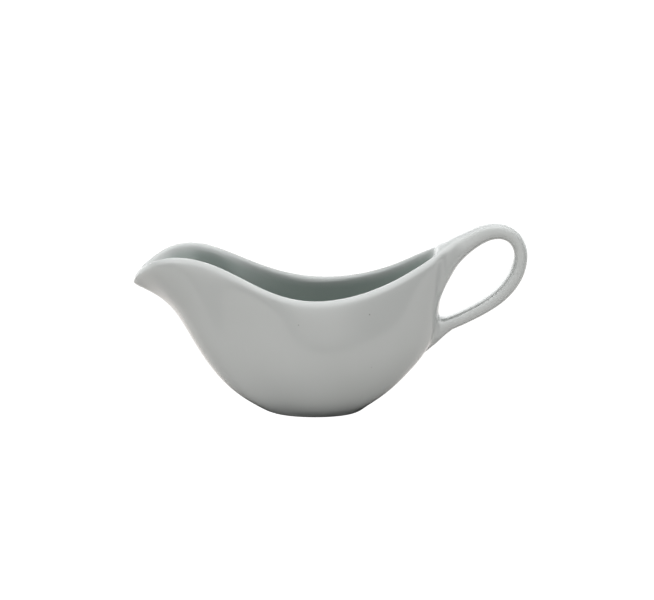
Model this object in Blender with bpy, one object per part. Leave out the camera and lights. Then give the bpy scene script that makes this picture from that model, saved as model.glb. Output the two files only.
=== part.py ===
"""Porcelain gravy boat: an open bowl with a pouring spout, an oval foot and a loop handle.

Metres, +Z up. The spout points along -X and the handle along +X, and the boat is
symmetric about the XZ plane. The origin is under the middle of the object, on the
surface that the foot stands on.

The body is one casting and the handle is another. Two thin layers of joining slip
lie between them, one at each of the handle's roots.
"""

import math

import bmesh
import bpy
import numpy as np

# ---------------------------------------------------------------- driving dimensions

# The rim's top line on one side, from the spout's tip to the handle: x, y, z.
RIM_LINE = [
    (-0.1044, 0.0000, 0.0725),
    (-0.1026, 0.0056, 0.0754),
    (-0.0980, 0.0128, 0.0798),
    (-0.0915, 0.0202, 0.0838),
    (-0.0830, 0.0244, 0.0866),
    (-0.0740, 0.0255, 0.0869),
    (-0.0580, 0.0253, 0.0827),
    (-0.0350, 0.0308, 0.0727),
    (-0.0110, 0.0365, 0.0669),
    (0.0140, 0.0334, 0.0690),
    (0.0350, 0.0268, 0.0761),
    (0.0500, 0.0200, 0.0839),
    (0.0580, 0.0120, 0.0883),
    (0.0605, 0.0000, 0.0898),
]

# Outer wall outlines: distance out and height, from the foot's edge to the rim.
SPOUT_OUTLINE = [
    (0.0336, 0.0000),
    (0.0430, 0.0052),
    (0.0517, 0.0111),
    (0.0603, 0.0192),
    (0.0688, 0.0306),
    (0.0773, 0.0448),
    (0.0850, 0.0562),
    (0.0925, 0.0624),
    (0.1034, 0.0680),
]
FLANK_OUTLINE = [
    (0.0175, 0.0000),
    (0.0225, 0.0034),
    (0.0292, 0.0110),
    (0.0346, 0.0225),
    (0.0380, 0.0390),
    (0.0392, 0.0635),
]
BACK_OUTLINE = [
    (0.0165, 0.0000),
    (0.0262, 0.0078),
    (0.0360, 0.0164),
    (0.0462, 0.0274),
    (0.0536, 0.0372),
    (0.0572, 0.0460),
    (0.0588, 0.0570),
    (0.0605, 0.0690),
    (0.0627, 0.0865),
]

FOOT_CENTRE_X = -0.0085
FOOT_HALF_LENGTH = 0.0250
FOOT_HALF_WIDTH = 0.0175
FOOT_EDGE_ROUND = 0.0006
FOOT_RING_WIDTH = 0.0036
FOOT_RECESS_DEPTH = 0.0018

WALL_THICKNESS = 0.0044
SPOUT_LIP_THICKNESS = 0.0062
RIM_OUTER_ROUND = 0.0034
RIM_INNER_ROUND = 0.0020
FLOOR_HEIGHT = 0.0068

# The handle's centre line in the XZ plane: x, z, thickness in that plane, width along Y.
HANDLE_LINE = [
    (0.0500, 0.0765, 0.0230, 0.0300),
    (0.0575, 0.0805, 0.0210, 0.0270),
    (0.0635, 0.0853, 0.0160, 0.0225),
    (0.0685, 0.0893, 0.0120, 0.0190),
    (0.0735, 0.0927, 0.0100, 0.0168),
    (0.0790, 0.0958, 0.0089, 0.0156),
    (0.0843, 0.0980, 0.0082, 0.0150),
    (0.0893, 0.0987, 0.0078, 0.0148),
    (0.0940, 0.0977, 0.0075, 0.0146),
    (0.0981, 0.0949, 0.0073, 0.0144),
    (0.1006, 0.0909, 0.0072, 0.0142),
    (0.1015, 0.0862, 0.0072, 0.0142),
    (0.1008, 0.0806, 0.0074, 0.0142),
    (0.0988, 0.0749, 0.0076, 0.0142),
    (0.0950, 0.0690, 0.0076, 0.0142),
    (0.0890, 0.0629, 0.0074, 0.0142),
    (0.0797, 0.0567, 0.0071, 0.0142),
    (0.0697, 0.0515, 0.0070, 0.0142),
    (0.0632, 0.0479, 0.0072, 0.0140),
    (0.0580, 0.0435, 0.0078, 0.0130),
    (0.0537, 0.0382, 0.0078, 0.0110),
]
HANDLE_SQUARENESS = 2.6

# How the three outlines share the wall: where the flank's outline rules alone, as a part
# of the way from tip to back, and how late the wall beside the keel climbs to the rim.
WIDEST_WAY = 0.55
LATE_CLIMB = 5
KEEL_TOP = SPOUT_OUTLINE[-1][1]

# Columns crowd by this much at the tip and the back, and the middle one leans backwards.
CROWDING = 0.45
MIDDLE_LEAN = 0.05

# Parts of the way: where the wall starts above the foot's rounded edge, where the lip's
# extra thickness ends, where the inner wall starts above the floor, and where it starts
# to ease into the rim.
FOOT_EDGE_SHARE = 0.012
LIP_REACH = 0.22
INNER_WALL_START = 0.16
RIM_EASE_START = 0.70

# A step along a surface that is small enough to give its direction.
SMALL_STEP = 0.002

# The solid that trims the handle starts this far up the wall and ends above the rim.
CUTTER_START = 0.25
CUTTER_HEADROOM = 0.020

TOUCHING_GAP = 0.0003
SLIP_THICKNESS = 0.0006

# Slip patches on the outer wall, as parts of the way from foot to rim and of the
# way round from tip to back: middle height, half height, half width.
UPPER_SLIP = (0.920, 0.060, 0.100)
LOWER_SLIP = (0.660, 0.036, 0.050)

# Mesh density.
COLUMNS = 60
WALL_ROWS = 16
INNER_ROWS = 13
RIM_STEPS = 3
FLOOR_ROWS = 4
CUTTER_ROWS = 12
HANDLE_STEPS = 42
HANDLE_SIDES = 18
SLIP_SIDES = 24
SLIP_RINGS = 3

PORCELAIN_COLOUR = (0.82, 0.83, 0.82, 1.0)
SLIP_COLOUR = (0.74, 0.73, 0.70, 1.0)


# ---------------------------------------------------------------- curves

def spline(points, closed=False):
    """A smooth curve through points; returns a function of 0..1 along its length."""
    knots = np.array(points, dtype=float)
    if closed:
        knots = np.vstack([knots, knots[:1]])
    steps = np.linalg.norm(np.diff(knots, axis=0), axis=1)
    at = np.concatenate([[0.0], np.cumsum(steps)]) / steps.sum()
    count = len(knots)
    gap = np.diff(at)
    matrix = np.zeros((count, count))
    right = np.zeros((count, knots.shape[1]))
    slopes = np.diff(knots, axis=0) / gap[:, None]
    for i in range(1, count - 1):
        matrix[i, i - 1:i + 2] = (gap[i - 1], 2 * (gap[i - 1] + gap[i]), gap[i])
        right[i] = 6 * (slopes[i] - slopes[i - 1])
    if closed:
        matrix[0, 0] = 1.0
        matrix[0, -1] = -1.0
        matrix[-1, :2] = (2 * gap[0], gap[0])
        matrix[-1, -2:] = (gap[-1], 2 * gap[-1])
        right[-1] = 6 * (slopes[0] - slopes[-1])
    else:
        matrix[0, 0] = 1.0
        matrix[-1, -1] = 1.0
    bend = np.linalg.solve(matrix, right)

    def curve(t):
        t = t % 1.0 if closed else t
        i = min(max(int(np.searchsorted(at, t)) - 1, 0), count - 2)
        a, b, h = at[i + 1] - t, t - at[i], gap[i]
        low = knots[i] / h - bend[i] * h / 6
        high = knots[i + 1] / h - bend[i + 1] * h / 6
        return (bend[i] * a ** 3 + bend[i + 1] * b ** 3) / (6 * h) + low * a + high * b

    return curve


def mirrored(line):
    """The half line from tip to back, followed by its mirror image back to the tip."""
    other_side = [(x, -y, z) for x, y, z in reversed(line[1:-1])]
    return line + other_side


def outline(points):
    """An outline scaled to run from (0, 0) to (1, 1)."""
    start = np.array(points[0])
    scale = np.array(points[-1]) - start
    scaled = [tuple((np.array(point) - start) / scale) for point in points]
    return spline(scaled)


def smooth_step(value):
    value = min(max(value, 0.0), 1.0)
    return value * value * (3 - 2 * value)


rim_curve = spline(mirrored(RIM_LINE), closed=True)
spout_outline = outline(SPOUT_OUTLINE)
flank_outline = outline(FLANK_OUTLINE)
back_outline = outline(BACK_OUTLINE)


# ---------------------------------------------------------------- the outer wall

def half_way(turn):
    """0 at the tip, 1 at the back, for a turn of 0..1 right round the boat."""
    turn = turn % 1.0
    return 2 * turn if turn <= 0.5 else 2 * (1 - turn)


def rim_turn(turn):
    """Where a column meets the rim: columns crowd at the tip and at the back."""
    way = half_way(turn)
    crowding = CROWDING * math.sin(2 * math.pi * way) / (2 * math.pi)
    lean_back = MIDDLE_LEAN * math.sin(math.pi * way) ** 2
    reached = 0.5 * (way - crowding + lean_back)
    return reached if turn % 1.0 <= 0.5 else 1 - reached


def rim_point(turn):
    return rim_curve(rim_turn(turn))


def foot_point(turn, inset=0.0):
    angle = 2 * math.pi * turn
    x = FOOT_CENTRE_X - (FOOT_HALF_LENGTH - inset) * math.cos(angle)
    y = (FOOT_HALF_WIDTH - inset) * math.sin(angle)
    return np.array([x, y, 0.0])


def profile(turn, height, top):
    """The share of the way out from the foot, and the height reached on the way to top.

    Beside the spout's keel the wall keeps the keel's own height and climbs late, so that
    the spout is U-shaped across.
    """
    way = half_way(turn)
    flank_out, flank_up = flank_outline(height)
    if way < WIDEST_WAY:
        out, up = spout_outline(height)
        reached = KEEL_TOP * up + (top - KEEL_TOP) * out ** LATE_CLIMB
        towards = way / WIDEST_WAY
        share = (towards ** 2 + smooth_step(towards)) / 2
    else:
        out, up = back_outline(height)
        reached = top * up
        share = 1 - smooth_step((way - WIDEST_WAY) / (1 - WIDEST_WAY))
    out_share = out + share * (flank_out - out)
    return out_share, reached + share * (top * flank_up - reached)


def unit(vector):
    return vector / np.linalg.norm(vector)


def wall_thickness(turn):
    """The wall thickens into a fleshy lip at the tip of the spout."""
    at_tip = 1 - smooth_step(half_way(turn) / LIP_REACH)
    return WALL_THICKNESS + at_tip * (SPOUT_LIP_THICKNESS - WALL_THICKNESS)


def rim_frame(turn):
    """At the rim: the wall's upward direction and the direction out of the wall."""
    along = unit(rim_point(turn + SMALL_STEP) - rim_point(turn - SMALL_STEP))
    top = rim_point(turn)
    out, reached = profile(turn, 1 - SMALL_STEP, top[2])
    below = foot_point(turn) * (1 - out) + top * out
    below[2] = reached
    outward = unit(np.cross(top - below, along))
    upward = unit(np.cross(along, outward))
    return upward, outward


def outer_shoulder(turn):
    """Where the wall ends and the rim's outer rounding starts."""
    up, out = rim_frame(turn)
    return rim_point(turn) - up * RIM_OUTER_ROUND + out * wall_thickness(turn) / 2


def wall_point(turn, height):
    """A point of the outer wall, for a height of 0 at the foot and 1 at the rim."""
    top = outer_shoulder(turn)
    out, reached = profile(turn, height, top[2])
    point = foot_point(turn) * (1 - out) + top * out
    point[2] = reached
    return point


def wall_normal(turn, height):
    low = max(height - SMALL_STEP, 0.0)
    high = min(height + SMALL_STEP, 1.0)
    up = wall_point(turn, high) - wall_point(turn, low)
    along = wall_point(turn + SMALL_STEP, height) - wall_point(turn - SMALL_STEP, height)
    return unit(np.cross(up, along))


def offset_wall(turn, height, distance):
    """A point at a distance outside the outer wall, or inside it if negative."""
    return wall_point(turn, height) + wall_normal(turn, height) * distance


# ---------------------------------------------------------------- mesh helpers

def add_ring(mesh, points):
    return [mesh.verts.new(point) for point in points]


def bridge(mesh, low, high):
    """Quads between two rings with the same number of vertices."""
    count = len(low)
    for i in range(count):
        j = (i + 1) % count
        mesh.faces.new((low[i], low[j], high[j], high[i]))


def cap(mesh, ring, centre):
    """A fan from a ring to a point."""
    middle = mesh.verts.new(centre)
    count = len(ring)
    for i in range(count):
        mesh.faces.new((ring[i], ring[(i + 1) % count], middle))


def material(name, colour, roughness, coat):
    made = bpy.data.materials.new(name)
    made.use_nodes = True
    shader = made.node_tree.nodes["Principled BSDF"]
    shader.inputs["Base Color"].default_value = colour
    shader.inputs["Roughness"].default_value = roughness
    shader.inputs["Metallic"].default_value = 0.0
    shader.inputs["Coat Weight"].default_value = coat
    made.diffuse_color = colour
    return made


def finish_object(mesh, name, look):
    """Turn the bmesh into a named, smooth-shaded object with outward faces."""
    bmesh.ops.remove_doubles(mesh, verts=mesh.verts, dist=1e-7)
    bmesh.ops.recalc_face_normals(mesh, faces=mesh.faces)
    data = bpy.data.meshes.new(name)
    mesh.to_mesh(data)
    mesh.free()
    made = bpy.data.objects.new(name, data)
    bpy.context.collection.objects.link(made)
    if look:
        data.materials.append(look)
    data.shade_smooth()
    data.set_sharp_from_angle(angle=math.radians(40))
    return made


# ---------------------------------------------------------------- the pieces

def turns():
    return [i / COLUMNS for i in range(COLUMNS)]


def rim_ring(turn, angle):
    """The rounded rim: 0 degrees is the outer shoulder, 90 the top, 180 the inside."""
    up, out = rim_frame(turn)
    drop = RIM_OUTER_ROUND if angle < math.pi / 2 else RIM_INNER_ROUND
    half = wall_thickness(turn) / 2
    lift = drop * (math.sin(angle) - 1)
    return rim_point(turn) + up * lift + out * half * math.cos(angle)


def inner_point(turn, height):
    """The inner wall: the outer wall's offset, eased to meet the rim's inner edge."""
    point = offset_wall(turn, height, -wall_thickness(turn))
    edge_error = rim_ring(turn, math.pi) - offset_wall(turn, 1.0, -wall_thickness(turn))
    ease = smooth_step((height - RIM_EASE_START) / (1 - RIM_EASE_START))
    return point + edge_error * ease


def floor_point(turn, share):
    """The bowl's floor, from its middle at 0 to the lowest ring of the wall at 1."""
    ring = inner_point(turn, INNER_WALL_START)
    above = inner_point(turn, INNER_WALL_START + SMALL_STEP)
    middle = np.array([FOOT_CENTRE_X, 0.0, FLOOR_HEIGHT])
    reach = ring[:2] - middle[:2]
    run = np.linalg.norm(reach)
    steepness = (above[2] - ring[2]) / np.linalg.norm(above[:2] - ring[:2])
    rise = ring[2] - middle[2]
    height = (3 * rise - steepness * run) * share ** 2
    height += (steepness * run - 2 * rise) * share ** 3
    plan = middle[:2] + reach * share
    return np.array([plan[0], plan[1], middle[2] + height])


def make_body(look):
    mesh = bmesh.new()
    rings = []
    ring_inset = FOOT_EDGE_ROUND + FOOT_RING_WIDTH
    for inset, height in (
        (ring_inset + 2 * FOOT_RECESS_DEPTH, FOOT_RECESS_DEPTH),
        (ring_inset + FOOT_RECESS_DEPTH, 0.8 * FOOT_RECESS_DEPTH),
        (ring_inset, 0.0),
        (FOOT_EDGE_ROUND, 0.0),
    ):
        lift = np.array([0.0, 0.0, height])
        rings.append([foot_point(turn, inset) + lift for turn in turns()])
    underside = rings[0]
    for row in range(WALL_ROWS + 1):
        height = FOOT_EDGE_SHARE + (1 - FOOT_EDGE_SHARE) * row / WALL_ROWS
        rings.append([wall_point(turn, height) for turn in turns()])
    for step in range(1, 2 * RIM_STEPS + 1):
        angle = math.pi * step / (2 * RIM_STEPS)
        rings.append([rim_ring(turn, angle) for turn in turns()])
    for row in range(1, INNER_ROWS + 1):
        height = 1 - (1 - INNER_WALL_START) * row / INNER_ROWS
        rings.append([inner_point(turn, height) for turn in turns()])
    for row in range(1, FLOOR_ROWS):
        share = 1 - row / FLOOR_ROWS
        rings.append([floor_point(turn, share) for turn in turns()])

    loops = [add_ring(mesh, ring) for ring in rings]
    for low, high in zip(loops, loops[1:]):
        bridge(mesh, low, high)
    cap(mesh, loops[0], (FOOT_CENTRE_X, 0.0, underside[0][2]))
    cap(mesh, loops[-1], (FOOT_CENTRE_X, 0.0, FLOOR_HEIGHT))
    return finish_object(mesh, "boat_body", look)


def make_wall_cutter(distance):
    """A solid of the boat's outer form, grown by a distance, that trims the handle."""
    mesh = bmesh.new()
    rise = (1 - CUTTER_START) / CUTTER_ROWS
    heights = [CUTTER_START + rise * row for row in range(CUTTER_ROWS + 1)]
    rings = [[offset_wall(turn, height, distance) for turn in turns()] for height in heights]
    lid = []
    for turn in turns():
        up, _out = rim_frame(turn)
        lid.append(offset_wall(turn, 1.0, distance) + up * CUTTER_HEADROOM)
    rings.append(lid)
    loops = [add_ring(mesh, ring) for ring in rings]
    for low, high in zip(loops, loops[1:]):
        bridge(mesh, low, high)
    cap(mesh, loops[0], np.mean(rings[0], axis=0))
    cap(mesh, loops[-1], np.mean(rings[-1], axis=0))
    made = finish_object(mesh, "wall_cutter", None)
    made.hide_render = True
    made.display_type = "WIRE"
    return made


def handle_section(line, t):
    """One closed section across the handle's centre line."""
    x, z, thickness, width = line(t)
    before = line(max(t - SMALL_STEP, 0.0))
    after = line(min(t + SMALL_STEP, 1.0))
    along = unit(np.array([after[0] - before[0], 0.0, after[1] - before[1]]))
    across = np.array([-along[2], 0.0, along[0]])
    points = []
    for side in range(HANDLE_SIDES):
        angle = 2 * math.pi * side / HANDLE_SIDES
        power = 2 / HANDLE_SQUARENESS
        u = math.copysign(abs(math.cos(angle)) ** power, math.cos(angle))
        v = math.copysign(abs(math.sin(angle)) ** power, math.sin(angle))
        sideways = np.array([0.0, u * width / 2, 0.0])
        points.append(np.array([x, 0.0, z]) + sideways + across * (v * thickness / 2))
    return points


def make_handle(look, cutter):
    mesh = bmesh.new()
    line = spline(HANDLE_LINE)
    sections = [handle_section(line, step / HANDLE_STEPS) for step in range(HANDLE_STEPS + 1)]
    loops = [add_ring(mesh, section) for section in sections]
    for low, high in zip(loops, loops[1:]):
        bridge(mesh, low, high)
    cap(mesh, loops[0], np.mean(sections[0], axis=0))
    cap(mesh, loops[-1], np.mean(sections[-1], axis=0))
    made = finish_object(mesh, "handle", look)
    trim = made.modifiers.new("trim_to_wall", "BOOLEAN")
    trim.operation = "DIFFERENCE"
    trim.solver = "EXACT"
    trim.object = cutter
    return made


def make_slip(name, look, patch):
    """A thin oval layer that follows the outer wall, a touching gap away from it."""
    middle, half_height, half_width = patch
    near = TOUCHING_GAP
    far = TOUCHING_GAP + SLIP_THICKNESS
    mesh = bmesh.new()

    def spot(share, side, distance):
        angle = 2 * math.pi * side / SLIP_SIDES
        turn = 0.5 + share * half_width * math.cos(angle) / 2
        height = middle + share * half_height * math.sin(angle)
        return offset_wall(turn, height, distance)

    layers = []
    for distance in (near, far):
        loops = []
        for ring in range(1, SLIP_RINGS + 1):
            share = ring / SLIP_RINGS
            spots = [spot(share, side, distance) for side in range(SLIP_SIDES)]
            loops.append(add_ring(mesh, spots))
        for low, high in zip(loops, loops[1:]):
            bridge(mesh, low, high)
        cap(mesh, loops[0], spot(0.0, 0, distance))
        layers.append(loops[-1])
    bridge(mesh, layers[0], layers[1])
    return finish_object(mesh, name, look)


def main():
    for old in list(bpy.data.objects):
        bpy.data.objects.remove(old, do_unlink=True)
    porcelain = material("porcelain", PORCELAIN_COLOUR, 0.12, 1.0)
    slip = material("joining_slip", SLIP_COLOUR, 0.5, 0.0)
    make_body(porcelain)
    cutter = make_wall_cutter(2 * TOUCHING_GAP + SLIP_THICKNESS)
    make_handle(porcelain, cutter)
    make_slip("upper_joint_slip", slip, UPPER_SLIP)
    make_slip("lower_joint_slip", slip, LOWER_SLIP)


main()
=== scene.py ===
"""Looks of the porcelain gravy boat: one smooth glazed skin, split into its real pieces.

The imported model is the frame. The body and the handle are rebuilt here as one cage of
quads, subdivided, and then cut at the two joints, so that the glaze runs over the joints
without a seam. Metres, +Z up, spout along -X, handle along +X, symmetric about XZ.
"""

import math

import bmesh
import bpy
import numpy as np
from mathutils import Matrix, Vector


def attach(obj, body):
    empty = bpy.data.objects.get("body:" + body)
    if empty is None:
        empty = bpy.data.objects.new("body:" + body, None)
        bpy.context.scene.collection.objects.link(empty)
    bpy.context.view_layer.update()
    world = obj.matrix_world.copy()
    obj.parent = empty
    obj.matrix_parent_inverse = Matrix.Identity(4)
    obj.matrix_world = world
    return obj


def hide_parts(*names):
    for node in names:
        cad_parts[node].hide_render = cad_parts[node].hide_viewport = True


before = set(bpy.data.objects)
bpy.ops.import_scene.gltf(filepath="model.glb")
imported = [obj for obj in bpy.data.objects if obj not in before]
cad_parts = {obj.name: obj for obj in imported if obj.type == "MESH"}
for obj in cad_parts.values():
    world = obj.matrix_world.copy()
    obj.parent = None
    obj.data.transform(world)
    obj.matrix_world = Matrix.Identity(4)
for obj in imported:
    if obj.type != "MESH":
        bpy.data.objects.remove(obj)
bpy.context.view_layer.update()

# ---------------------------------------------------------------- shape

# The outlines follow the part's, with a rounder rim that ends higher at the handle.
# The rim's top line on one side, from the spout's tip to the handle: x, y, z.
RIM_LINE = [
    (-0.1044, 0.0000, 0.0725),
    (-0.1026, 0.0056, 0.0754),
    (-0.0980, 0.0128, 0.0798),
    (-0.0915, 0.0202, 0.0838),
    (-0.0830, 0.0244, 0.0866),
    (-0.0740, 0.0255, 0.0869),
    (-0.0580, 0.0253, 0.0827),
    (-0.0350, 0.0308, 0.0727),
    (-0.0110, 0.0365, 0.0669),
    (0.0140, 0.0334, 0.0690),
    (0.0350, 0.0268, 0.0761),
    (0.0500, 0.0200, 0.0839),
    (0.0575, 0.0130, 0.0884),
    (0.0610, 0.0000, 0.0924),
]

# Outer wall outlines: distance out and height, from the foot's edge to the rim.
SPOUT_OUTLINE = [
    (0.0336, 0.0000),
    (0.0430, 0.0052),
    (0.0517, 0.0111),
    (0.0603, 0.0192),
    (0.0688, 0.0306),
    (0.0773, 0.0448),
    (0.0850, 0.0562),
    (0.0925, 0.0624),
    (0.1034, 0.0680),
]
FLANK_OUTLINE = [
    (0.0175, 0.0000),
    (0.0225, 0.0034),
    (0.0292, 0.0110),
    (0.0346, 0.0225),
    (0.0380, 0.0390),
    (0.0392, 0.0635),
]
BACK_OUTLINE = [
    (0.0165, 0.0000),
    (0.0262, 0.0078),
    (0.0360, 0.0164),
    (0.0462, 0.0274),
    (0.0536, 0.0372),
    (0.0572, 0.0460),
    (0.0588, 0.0570),
    (0.0605, 0.0690),
    (0.0627, 0.0865),
]

FOOT_CENTRE_X = -0.0085
FOOT_HALF_LENGTH = 0.0250
FOOT_HALF_WIDTH = 0.0175

WALL_THICKNESS = 0.0044
SPOUT_LIP_THICKNESS = 0.0062
RIM_OUTER_ROUND = 0.0056
SPOUT_LIP_OUTER_ROUND = 0.0034
BACK_RIM_START = 0.86
BACK_RIM_EXTRA = 0.0026
BACK_RIM_EXTRA_ROUND = 0.0022
BACK_RIM_OUTER_ROUND = 0.0020
RIM_INNER_ROUND = 0.0029
FLOOR_HEIGHT = 0.0068

# The handle's centre line in the XZ plane: x, z, thickness in that plane, width along Y.
# The first and last knots only give the line's direction next to them.
HANDLE_LINE = [
    (0.0685, 0.0893, 0.0120, 0.0190),
    (0.0733, 0.0931, 0.0106, 0.0168),
    (0.0788, 0.0962, 0.0095, 0.0156),
    (0.0842, 0.0983, 0.0087, 0.0150),
    (0.0893, 0.0989, 0.0082, 0.0148),
    (0.0941, 0.0979, 0.0078, 0.0146),
    (0.0982, 0.0950, 0.0075, 0.0144),
    (0.1006, 0.0909, 0.0072, 0.0142),
    (0.1015, 0.0862, 0.0072, 0.0142),
    (0.1008, 0.0806, 0.0074, 0.0142),
    (0.0988, 0.0749, 0.0076, 0.0142),
    (0.0950, 0.0690, 0.0076, 0.0142),
    (0.0890, 0.0629, 0.0074, 0.0142),
    (0.0797, 0.0567, 0.0071, 0.0142),
    (0.0697, 0.0515, 0.0070, 0.0142),
    (0.0632, 0.0479, 0.0072, 0.0140),
]
HANDLE_SQUARENESS = 3.4

# How the three outlines share the wall: where the flank's outline rules alone, as a part
# of the way from tip to back, and how late the wall beside the keel climbs to the rim.
WIDEST_WAY = 0.55
LATE_CLIMB = 5
KEEL_TOP = SPOUT_OUTLINE[-1][1]
CROWDING = 0.45
MIDDLE_LEAN = 0.05

# How far from the tip the lip's own thickness and rounding reach, and how the rings of
# the inside are eased near the tip, where they would come to a point.
LIP_REACH = 0.22
CHANNEL_REACH = 0.16
CHANNEL_ROUNDS = 4
CHANNEL_PULL = 0.6

# The inner wall: its lowest ring, where it starts easing to the rim, and a small step.
INNER_WALL_START = 0.16
RIM_EASE_START = 0.70
SMALL_STEP = 0.002

# ---------------------------------------------------------------- the cage's own layout

# Columns, as parts of the way from the spout's tip to the back of the rim.
COLUMN_WAYS = [
    0.0, 0.028, 0.057, 0.088, 0.125, 0.167, 0.215, 0.268, 0.325, 0.385, 0.445,
    0.505, 0.565, 0.625, 0.685, 0.740, 0.790, 0.838, 0.880, 0.920, 0.960, 1.0,
]
BACK_COLUMN = len(COLUMN_WAYS) - 1
CAP_SHORT_SIDE = 8

# The underside, from the recess outwards: inset from the foot's edge, and height.
FOOT_ROWS = [
    (0.0095, 0.0018),
    (0.0078, 0.0018),
    (0.0062, 0.0014),
    (0.0050, 0.0005),
    (0.0042, 0.0000),
    (0.0026, 0.0000),
    (0.0010, 0.0000),
    (0.0003, 0.00025),
]

# Wall rows, by the height that each has at the back of the boat.
LOW_WALL_ROWS = [0.0015, 0.0045, 0.0090, 0.0145, 0.0205, 0.0262, 0.0312, 0.0355]
LOWER_ROOT_ROWS = [0.0395, 0.0417, 0.0440, 0.0462, 0.0485, 0.0508, 0.0530]
MIDDLE_WALL_ROWS = [0.0573, 0.0619]
UPPER_ROOT_ROWS = [0.0665, 0.0765]
RIM_ANGLES = [0, 45, 90, 135, 180]
INNER_HEIGHTS = [0.955, 0.90, 0.83, 0.74, 0.64, 0.54, 0.44, 0.35, 0.26, 0.19]
FLOOR_SHARES = [0.86, 0.68, 0.50]

# Each root's patch, in columns to either side of the back column.
UPPER_ROOT_COLUMNS = 3
LOWER_ROOT_COLUMNS = 2
HANDLE_SIDES = 20

# Rings between the wall and the even part of the handle: the outer edge's x and z, the
# inner edge's x and z, and the width.
UPPER_ROOT_RINGS = [
    (0.0622, 0.0936, 0.0633, 0.0718, 0.0238),
    (0.0646, 0.0948, 0.0665, 0.0780, 0.0214),
    (0.0672, 0.0962, 0.0708, 0.0837, 0.0187),
]
LOWER_ROOT_RINGS = [
    (0.0667, 0.0463, 0.0638, 0.0528, 0.0141),
    (0.0625, 0.0438, 0.0609, 0.0520, 0.0139),
]

# The tail of the lower root, which runs on down the wall to a point: height, how far it
# is proud of the wall, half width, and how wide its sides' slopes are.
TAIL_LINE = [
    (0.0270, 0.0000, 0.0000),
    (0.0285, 0.0002, 0.0010),
    (0.0305, 0.0005, 0.0022),
    (0.0338, 0.0011, 0.0038),
    (0.0371, 0.0018, 0.0050),
    (0.0400, 0.0016, 0.0060),
    (0.0430, 0.0008, 0.0066),
    (0.0460, 0.0000, 0.0068),
]
TAIL_SIDE_SLOPE = 0.0018
TAIL_FROM_X = 0.03
TAIL_LEAST_FACING = 0.2

FIT_ROUNDS = 6
SKIN_LEVELS = 2
BISECTIONS = 40
RIM_SAMPLES = 240

# The skin is smoothed near the joints: how far from them, and how firmly it is held to
# its first shape at the joints and at that distance.
FAIR_REACH = 0.0115
FAIR_HOLD_AT_JOINT = 0.0012
FAIR_HOLD_AWAY = 3.0
FAIR_HOLD_POWER = 1.5
FAIR_ROUNDS = 150

# How deep each closing face bulges inside, so that neighbouring pieces don't overlap.
BODY_CLOSING_DEPTH = 0.0010
ROOT_CLOSING_DEPTH = 0.0007
HANDLE_CLOSING_DEPTH = 0.0004

# ---------------------------------------------------------------- glaze

# Colours are linear. Inside the bowl, from just below the rim down, the glaze is painted darker,
# greyer and greener: partly a greener glaze tint, mostly painted shade.
WHITE = (1.0, 1.0, 1.0)
OUTSIDE_GLAZE = (0.775, 0.795, 0.780)
INSIDE_TINT_AND_PAINTED_SHADE = (0.545, 0.610, 0.578)
CLOUDED_GLAZE = (0.750, 0.772, 0.752)
BISCUIT = (0.700, 0.665, 0.600)
SPECK = (0.160, 0.145, 0.120)
GLAZE_ROUGHNESS = (0.055, 0.105)
INSIDE_ROUGHNESS = 0.24
BISCUIT_ROUGHNESS = 0.85
INSIDE_SHADE_DEPTH = (0.0008, 0.0070)
BISCUIT_TOP = (0.00022, 0.00050)

# The specks that can be seen on the near flank: x, y, z and radius.
FLANK_SPECKS = [
    (-0.0140, -0.0381, 0.0545, 0.00060),
    (0.0226, -0.0332, 0.0595, 0.00055),
    (-0.0095, -0.0262, 0.0125, 0.00045),
]
SCATTERED_SPECK_SCALE = 75.0
SCATTERED_SPECK_RADIUS = 0.030
FLANK_SPECK_SHARE = 0.55
SCATTERED_SPECK_SHARE = 0.25

# Noise scales, per metre: the glaze's clouding, its gloss and its waviness, and the
# grain of the bare clay.
CLOUD_SCALE = 22.0
GLOSS_SCALE = 60.0
WAVE_SCALE = 140.0
CLAY_SCALE = 900.0
CLOUD_EDGES = (0.35, 0.75)
CLAY_EDGES = (0.3, 0.8)
CLAY_DARKENING = 0.9
WAVE_STRENGTH = 0.35
WAVE_HEIGHT = 0.00005

# ---------------------------------------------------------------- camera and light

CAMERA_AZIMUTH = 3.0
CAMERA_ELEVATION = 11.0
CAMERA_DISTANCE = 1.0
CAMERA_LENS = 102.84
CAMERA_TARGET = (-0.00123, 0.0, 0.06055)

# The studio's light from each height of direction, from -1 (below) to 1 (overhead): a low
# window in front, a bright box overhead and a dim room behind. What reflects in the glaze
# differs from what lights it: a bright ceiling, and a table top with a clear edge.
FRONT_LIGHT = [
    (-1.0, 0.00), (-0.5, 0.00), (-0.25, 1.40), (0.0, 1.96),
    (0.2, 0.18), (0.35, 0.00), (0.6, 0.00), (0.8, 0.50), (1.0, 1.60),
]
BACK_LIGHT = [(-1.0, 0.08), (-0.6, 0.22), (-0.2, 0.40), (0.1, 0.45), (0.7, 0.35), (1.0, 0.60)]
TABLE_SHINE = [(-1.0, 0.00), (-0.75, 0.40), (-0.5, 0.90), (0.0, 1.00)]
WINDOW_SHINE = [
    (-0.42, 0.00), (-0.29, 1.20), (-0.09, 2.20), (0.16, 3.20),
    (0.48, 5.20), (0.75, 6.20), (1.0, 8.00),
]
ROOM_SHINE = [
    (-0.5, 0.00), (-0.2, 0.10), (0.0, 0.30), (0.2, 1.20),
    (0.48, 3.80), (0.75, 6.00), (1.0, 8.00),
]
BACK_SHINE = [
    (-1.0, 0.00), (-0.6, 1.10), (-0.2, 1.20), (0.1, 2.30),
    (0.4, 2.30), (0.7, 3.20), (1.0, 8.00),
]
BRIGHTEST = 8.0

# Where the window gives way to the room at its sides, and the front to the back; how much
# stronger the front light is from the left; and the table's edge, as the glaze shows it.
WINDOW_SIDES = (0.20, 0.65)
BACK_START = (-0.15, 0.35)
LEFT_BIAS = 0.16
TABLE_EDGE_SLOPE = 0.466
TABLE_EDGE_SOFTNESS = 0.025

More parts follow.
